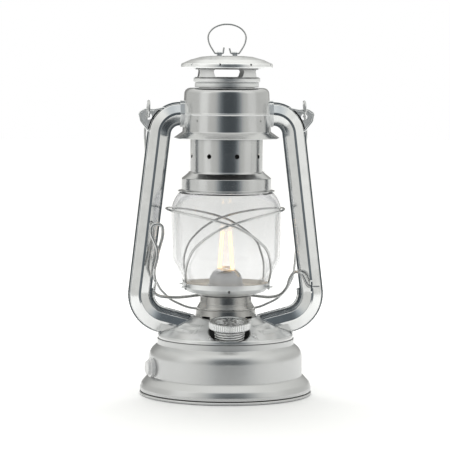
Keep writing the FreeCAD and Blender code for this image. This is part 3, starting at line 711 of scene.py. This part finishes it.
def add_lug(work, x, y, radius=3.4, thickness=0.9):
    """Round tab with a rolled edge that takes the foot of a guard wire."""
    levels = [(radius - 0.3, 84.15), (radius, 84.35), (radius, 84.7), (radius - 0.3, 84.15 + thickness)]
    rings = []
    for r, z in levels:
        rings.append([work.verts.new(Vector((x + r * math.cos(a), y + r * math.sin(a), z)) * MM)
                      for a in [2 * math.pi * k / LUG_SIDES for k in range(LUG_SIDES)]])
    for low, high in zip(rings, rings[1:]):
        for k in range(LUG_SIDES):
            after = (k + 1) % LUG_SIDES
            work.faces.new([low[k], low[after], high[after], high[k]])
    work.faces.new(rings[0][::-1])
    work.faces.new(rings[-1])


def guard_line(spread):
    """One guard wire: up from its left front foot, round the right side and down to the left back foot."""
    front = [(-27.6, 37.0, 116.0), (-17.5, 42.2, 125.8), (-5.0, 45.3, 133.2), (8.0, 45.0, 137.4),
             (22.0, 40.0, 140.8), (35.0, 29.2, 143.2), (43.4, 14.8, 144.3)]
    foot = [(-32.3, 14.0, 82.6), (-32.3, 14.0, 88.5), (-33.2, 25.6, 98.0), (-31.6, 33.0, 107.0)]
    bow = foot + [(x * spread, y * spread, z) for x, y, z in front]
    there = [(x, -y, z) for x, y, z in bow]
    return there + [(45.6 * spread, 0.0, 144.6)] + bow[::-1]


def make_guards():
    """The right wire mirrors the left one and passes just outside it where they cross."""
    left = wire("guard_wire_left_drawn", guard_line(1.0), GUARD_WIRE, "wire_steel")
    stand_in(left, "guard_wire_left")
    right_line = [(-x, y, z) for x, y, z in guard_line(1.036)]
    right = wire("guard_wire_right_drawn", right_line, GUARD_WIRE, "wire_steel")
    stand_in(right, "guard_wire_right")


# ---- hood and chimney ----
def make_hood():
    """Drawn hood with the holes for the side tubes and two pinholes in front."""
    path = [(41.0, 200.0), (34.4, 204.6), (33.75, 217.4), (34.2, 218.4), (33.7, 219.4), (32.8, 238.5),
            (22.4, 238.5)]
    hood = spun_sheet("hood_drawn", path, [1.2, 0.3, 0.4, 0.3, 4.6], "hood_steel", segments=256)
    side_holes = [radial_hole(6.2, angle, 20, 45, 218.2) for angle in (0, math.pi)]
    pinholes = [radial_hole(0.6, math.radians(-90 + a), 25, 40, 213.3) for a in (-46, 46)]
    cut(hood, side_holes + pinholes)
    stand_in(hood, "hood")


def make_chimney():
    """Pierced cylinder, globe collar, vent ring with its windows, and the lid with its air holes."""
    path = [(28.6, 172.9), (28.1, 173.8), (28.1, 207.0), (21.5, 210.0), (21.5, 239.0)]
    tube = spun_sheet("chimney_cylinder_pierced", path, [0.4, 3.0, 2.0], "hood_steel")
    cut(tube, [radial_hole(1.85, math.radians(-90 + 12.5 + 45 * k), 20, 35, 186.1) for k in range(8)])
    stand_in(tube, "chimney_cylinder")

    path = [(37.7, 158.2), (37.7, 158.9), (34.8, 159.6), (34.8, 168.4), (29.6, 172.6), (29.4, 173.4)]
    collar = spun_sheet("globe_collar_drawn", path, [0.3, 0.5, 1.0, 0.4], "hood_steel")
    stand_in(collar, "globe_collar")

    path = [(22.0, 239.1), (24.9, 239.1), (24.9, 242.0), (24.0, 242.5), (25.9, 243.0), (25.9, 246.0),
            (24.6, 246.7), (24.4, 253.4), (21.0, 254.4)]
    vent = spun_sheet("vent_ring_pierced", path, [0.6, 0.8, 0.2, 1.1, 1.2, 0.3, 0.8], "plate_steel",
                      inside="plate_steel", segments=256)
    windows = []
    corners = [(-10.5, 0, 246.9), (10.5, 0, 246.9), (12.2, 0, 252.7), (-12.2, 0, 252.7)]
    outline = soften(corners, 1.6, closed=True)
    for quarter in range(4):
        turn = Matrix.Rotation(math.radians(90 * quarter), 3, "Z")
        windows.append(([turn @ p for p in outline], turn @ Vector((0, 40, 0))))
    cut(vent, windows)
    stand_in(vent, "vent_ring")

    path = [(33.6, 253.5), (35.6, 253.6), (35.6, 257.2), (33.4, 258.0), (28.6, 260.2), (20.0, 262.6),
            (12.0, 263.3), (0.0, 263.4)]
    cap = spun_sheet("lid_domed", path, [1.2, 1.4, 1.0, 3.0, 10.0, 0.0], "lid_steel", segments=256)
    cut(cap, [radial_hole(0.85, math.radians(-90 - 13 + 40 * k), 31, 38, 256.5) for k in range(9)])
    stand_in(cap, "lid")


# ---- side tubes ----
LEAN = math.tan(math.radians(6.74))
TUBE_TOP_Z = 218.2


def tube_x(z):
    """How far the tube's centre line stands from the lantern's axis at a height."""
    return 53.0 + (198.0 - z) * LEAN


# sections of one tube half, as (offset to the outer side, depth from the seam)
OUTER_FORM = [(9.45, 0.02), (9.45, 0.6), (8.0, 0.6), (7.4, 3.5), (1.3, 6.5), (-0.5, 6.8), (-6.6, 4.2),
              (-7.3, 0.6), (-8.9, 0.6), (-8.9, 0.02)]
OUTER_RADII = [0.15, 0.25, 0.25, 0.7, 0.4, 0.4, 0.9, 0.2, 0.2, 0.1]
INNER_FORM = [(-6.6, 0.02), (-6.0, 3.8), (0.3, 6.1), (6.9, 3.0), (7.4, 0.6), (7.4, 0.02)]
INNER_RADII = [0.05, 0.9, 0.8, 0.6, 0.2, 0.05]
CRIMP_PITCH = 1.7
CRIMP_DEPTH = 0.22
CRIMP_TOP_Z = 84.0
INNER_FLANGE = [(-8.7, 0.0), (-11.0, 0.0), (-11.2, 0.15), (-11.2, 0.45), (-11.0, 0.6), (-8.7, 0.6)]
INNER_FLANGE_TOP_Z = 84.2
TUBE_SLACK = 0.007  # in metres: the drawn tubes run on into the tank, where the CAD ones end at its dome
TUBE_STEP = 0.6


def tube_line():
    """Points (x, z) along the tube's centre line with the unit vector to its outer side."""
    line = soften([(30.0, 0, TUBE_TOP_Z), (tube_x(TUBE_TOP_Z), 0, TUBE_TOP_Z), (tube_x(62.0), 0, 62.0),
                   (27.0, 0, 50.74)], [15.9, 21.7], step=math.radians(2.5))
    stops = []
    for a, b in zip(line, line[1:]):
        count = max(1, round((b - a).length / TUBE_STEP))
        stops += [a.lerp(b, k / count) for k in range(count)]
    stops.append(line[-1])
    frames = []
    for index, stop in enumerate(stops):
        along = (stops[min(index + 1, len(stops) - 1)] - stops[max(index - 1, 0)]).normalized()
        frames.append((stop, Vector((-along.z, 0, along.x))))
    return frames


def swept(work, frames, section, side, depth_sign, crimped):
    """Sweeps one closed section (offset, depth) along the tube; crimped offsets carry the seam's teeth."""
    travelled = 0.0
    rings = []
    for index, (stop, outward) in enumerate(frames):
        if index:
            travelled += (stop - frames[index - 1][0]).length
        wave = math.sin(2 * math.pi * travelled / CRIMP_PITCH)
        notch = CRIMP_DEPTH * wave if stop.z < CRIMP_TOP_Z else 0.0
        ring = []
        for u, v in section:
            place = stop + outward * (u + (notch if crimped(u) else 0.0)) + Vector((0, depth_sign * v, 0))
            place.x *= side
            ring.append(work.verts.new(place * MM))
        rings.append(ring)
    total = len(section)
    for a, b in zip(rings, rings[1:]):
        for k in range(total):
            after = (k + 1) % total
            work.faces.new([a[k], a[after], b[after], b[k]])
    work.faces.new(rings[0])
    work.faces.new(rings[-1][::-1])


EAR_X, EAR_Z = 60.6, 216.2
EAR_MIDDLE = Vector((61.0, 0, 214.5))
EAR_SHEET = 0.6
EAR_RIM = 0.85
EAR_HOLE = 2.5
EAR_OUTLINE = [(47.0, 0, 223.4), (56.0, 0, 221.9), (63.5, 0, 222.6), (68.8, 0, 219.4), (67.6, 0, 212.2),
               (60.0, 0, 203.5), (56.0, 0, 208.0)]


def make_ear(side, depth_sign):
    """Tab on the outer flange: a sheet with the hole for the bail and a rolled rim of wire round it."""
    outline = soften(EAR_OUTLINE, [0.5, 4.0, 5.0, 3.4, 4.5, 2.0, 0.5], closed=True)
    rim = [p + (EAR_MIDDLE - p).normalized() * EAR_RIM for p in outline]
    work = bmesh.new()
    add_prism(work, [(side * p.x, 0, p.z) for p in outline], (0, depth_sign * EAR_SHEET, 0))
    tab = finish_mesh("ear", work, "satin_steel")
    hole = round_outline((side * EAR_X, -3, EAR_Z), (1, 0, 0), (0, 0, 1), EAR_HOLE)
    cut(tab, [(hole, (0, 6, 0))])
    edge = wire("edge", [(side * p.x, depth_sign * 0.5, p.z) for p in rim + rim[:1]], EAR_RIM, "tube_steel",
                [0.0] * (len(rim) - 1))
    work = bmesh.new()
    work.from_mesh(tab.data)
    satin_slot = 1
    for face in work.faces:
        face.material_index = satin_slot
    work.from_mesh(edge.data)
    for spare in (tab, edge):
        bpy.data.objects.remove(spare)
    return work


def braced(points, radii, step, gap=0.12):
    """Closed section (offset, depth) with points close to the ends of its flat runs, so they shade flat."""
    line = soften([(u, 0, v) for u, v in points], radii, closed=True, step=math.radians(step))
    section = []
    for a, b in zip(line, line[1:] + line[:1]):
        section.append((a.x, a.z))
        if (b - a).length > 4 * gap:
            along = (b - a).normalized() * gap
            section += [((a + along).x, (a + along).z), ((b - along).x, (b - along).z)]
    return section


def make_tubes():
    """Yields each pressed half with the name of the CAD node that it stands for."""
    form = braced(OUTER_FORM, OUTER_RADII, 12)
    hollow = braced(INNER_FORM, INNER_RADII, 20)
    frames = tube_line()
    low_frames = [f for f in frames if f[0].z < INNER_FLANGE_TOP_Z]
    for side, side_name in ((1, "right"), (-1, "left")):
        for depth_sign, half_name in ((-1, "front"), (1, "back")):
            work = make_ear(side, depth_sign)
            swept(work, frames, form + hollow, side, depth_sign, lambda u: u > 9.2)
            swept(work, low_frames, INNER_FLANGE, side, depth_sign, lambda u: u < -10.9)
            half = finish_mesh(f"{side_name}_tube_{half_name}_pressed", work, "tube_steel", "satin_steel")
            yield half, f"{side_name}_tube_{half_name}"


# ---- handles ----
BAIL_WIRE = 1.0
LEVER_WIRE = 1.25
RING_WIRE = 0.7
RING_FOOT_Z = 265.2


def bail_line():
    """Points and corner radii of the bail: an eye through each ear, then down and round behind the tank."""
    hook = 6.0
    half = [(EAR_X, 3.6, 216.0), (EAR_X, -hook, 216.0), (EAR_X, -hook, 228.0), (EAR_X, hook, 228.0),
            (63.3, 8.5, 203.0), (55.6, 21.8, 90.0), (50.6, 23.2, 79.6), (42.5, 24.3, 71.0),
            (28.0, 25.4, 64.2)]
    radii = [hook, hook, 5.9, 45.0, 25.0, 13.0, 18.0, 30.0]
    line = half + [(0, 25.9, 61.7)] + [(-x, y, z) for x, y, z in reversed(half)]
    return line, radii + [90.0] + radii[::-1]


# thumb loop beside the left tube, bow behind the gallery, hump up to the clip on the right tube
LEVER_LINE = [(-56.4, -13.6, 99.0), (-52.9, -13.6, 112.0), (-59.3, -12.9, 126.0), (-58.6, -12.3, 133.0),
              (-50.4, -11.6, 133.4), (-49.5, -11.2, 125.0), (-53.4, -11.0, 112.0), (-56.8, -9.6, 96.0),
              (-55.4, -5.0, 88.8), (-54.7, 0.5, 87.6), (-55.4, 6.5, 84.0), (-56.0, 9.6, 77.5),
              (-50.5, 11.4, 74.6), (-36.0, 17.0, 73.1), (-20.0, 24.8, 74.4), (0, 27.8, 76.0),
              (20.0, 24.8, 74.4), (36.0, 17.0, 73.1), (44.2, 12.0, 75.4), (48.9, 6.5, 82.0),
              (50.2, 1.5, 90.0), (53.6, -4.0, 95.8), (58.4, -9.4, 95.2), (61.2, -10.5, 89.5),
              (63.4, -10.5, 84.6), (72.2, -10.5, 84.4)]


def make_handles():
    """Bail, lift lever and lid ring, each bent from one wire."""
    line, radii = bail_line()
    bail = wire("bail_drawn", line, BAIL_WIRE, "wire_steel", radii)
    stand_in(bail, "bail")
    lever = wire("lift_lever_drawn", LEVER_LINE, LEVER_WIRE, "wire_steel")
    stand_in(lever, "lift_lever")
    z = RING_FOOT_Z
    bow = [(9.4, z), (14.2, z + 7.4), (15.1, z + 14.0), (11.1, z + 19.5), (4.1, z + 22.5)]
    line = [(-2.4, 0, z + 4.6), (-3.0, 0, z)] + [(-x, 0, height) for x, height in bow]
    line += [(x, 0, height) for x, height in reversed(bow)] + [(3.0, 0, z), (1.8, 0, z + 4.0)]
    radii = soft_radii(line, 0.48)
    radii[:2] = radii[-2:] = [0.9, 0.9]
    ring = wire("lid_ring_drawn", line, RING_WIRE, "wire_steel", radii)
    stand_in(ring, "lid_ring")


make_tank()
make_dome()
make_filler()
make_burner()
make_globe()
make_guards()
make_hood()
make_chimney()
for tube_half, half_node in make_tubes():
    stand_in(tube_half, half_node, slack=TUBE_SLACK)
make_handles()


# ---- stage ----
ROOM_TURN = math.radians(4.0)  # the dim end of the room lies this far to the right of straight in front
DIM_FRONT = 0.87
DIM_BACK = 0.6
LIT_TONE = (1.0, 1.0, 0.965, 1.0)
DIM_TONE = (0.87, 1.0, 1.10, 1.0)


def make_world():
    """Pale studio that the metal mirrors: bright all round, dim in front and, less so, behind.

    Seen directly or through the glass it is plain white.
    """
    world = bpy.data.worlds.new("studio")
    world.use_nodes = True
    scene.world = world
    nodes = Nodes(world.node_tree)
    output = nodes.add("ShaderNodeOutputWorld")
    way = nodes.add("ShaderNodeTexCoord").outputs["Generated"]
    front = (math.sin(ROOM_TURN), -math.cos(ROOM_TURN), 0.0)
    up = nodes.add("ShaderNodeSeparateXYZ", Vector=way).outputs["Z"]
    level_way = nodes.vector("NORMALIZE", nodes.vector("MULTIPLY", way, (1, 1, 0)))
    facing = nodes.vector("DOT_PRODUCT", level_way, front)
    dark_band = nodes.math("MULTIPLY", nodes.spread(facing, 0.76, 0.975, smooth=True),
                           nodes.spread(up, 0.60, 0.92, 1.0, 0.0, smooth=True))
    dark_back = nodes.spread(nodes.vector("DOT_PRODUCT", way, front), -0.78, -0.95, smooth=True)
    lit = nodes.spread(up, 0.15, 0.85, 0.72, 1.05, smooth=True)
    level = lit
    for dimmed, depth in ((dark_band, DIM_FRONT), (dark_back, DIM_BACK)):
        kept = nodes.math("SUBTRACT", 1.0, nodes.math("MULTIPLY", dimmed, depth))
        level = nodes.math("MULTIPLY", level, kept)
    tone = nodes.blend(dark_band, LIT_TONE, DIM_TONE)
    reflected = nodes.add("ShaderNodeBackground", Color=tone, Strength=level)
    seen = nodes.add("ShaderNodeBackground", Color=grey(1.0), Strength=1.0)
    path = nodes.add("ShaderNodeLightPath")
    direct = nodes.math("MAXIMUM", path.outputs["Is Camera Ray"], path.outputs["Is Transmission Ray"])
    mix = nodes.add("ShaderNodeMixShader", Fac=direct)
    world.node_tree.links.new(reflected.outputs[0], mix.inputs[1])
    world.node_tree.links.new(seen.outputs[0], mix.inputs[2])
    world.node_tree.links.new(mix.outputs[0], output.inputs["Surface"])


def make_light(name, place, target, width, height, power, mirrored=True):
    """Area light; one that isn't mirrored lights the floor but leaves no bright patch in the metal."""
    data = bpy.data.lights.new(name, "AREA")
    data.shape = "RECTANGLE"
    data.size, data.size_y = width, height
    data.energy = power
    light = bpy.data.objects.new(name, data)
    scene.collection.objects.link(light)
    light.location = place
    light.rotation_euler = (Vector(target) - Vector(place)).to_track_quat("-Z", "Y").to_euler()
    light.visible_glossy = mirrored


FLOOR_FRONT = -0.34  # the table ends here, just out of the main view
FLOOR_REACH = 6.0
FLOOR_GAP = 0.0002


def make_floor():
    """White paper with painted light and shade: its emission is weakest close to the lantern, deepening the
    shadow under it, and grows with distance, so the floor has no horizon.
    """
    mesh = bpy.data.meshes.new("floor")
    work = bmesh.new()
    corners = [(-FLOOR_REACH, FLOOR_FRONT, 0), (FLOOR_REACH, FLOOR_FRONT, 0),
               (FLOOR_REACH, FLOOR_REACH, 0), (-FLOOR_REACH, FLOOR_REACH, 0)]
    work.faces.new([work.verts.new(corner) for corner in corners])
    work.to_mesh(mesh)
    work.free()
    floor = bpy.data.objects.new("floor", mesh)
    scene.collection.objects.link(floor)
    floor.location.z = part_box("base_pan")[0].z - FLOOR_GAP
    nodes, shader = new_material("floor_paper")
    grain = nodes.noise(40.0)
    nodes.feed(shader, "Base Color", nodes.blend(grain, grey(0.93), grey(0.95)))
    shader.inputs["Roughness"].default_value = 0.9
    shader.inputs["Emission Color"].default_value = grey(1.0)
    way = nodes.add("ShaderNodeTexCoord").outputs["Object"]
    reach = nodes.vector("LENGTH", way)
    # painted shadow: less emission near the lantern, more far away
    nodes.feed(shader, "Emission Strength", nodes.spread(reach, 0.12, 1.2, 0.05, 0.23))
    mesh.materials.append(materials["floor_paper"])


make_camera()
make_world()
make_light("top_softbox", (0.0, -0.3, 1.6), (0, 0, 0.1), 1.6, 1.6, 1.0)
make_light("back_softbox", (0.0, 0.9, 1.3), (0, 0, 0.05), 0.9, 0.9, 9.0, mirrored=False)
make_light("left_softbox", (-1.3, -0.55, 0.7), (0, 0, 0.15), 0.7, 1.3, 1.0)
make_light("right_softbox", (1.3, -0.55, 0.7), (0, 0, 0.15), 0.7, 1.3, 0.6)
make_floor()
scene.view_settings.view_transform = "Standard"
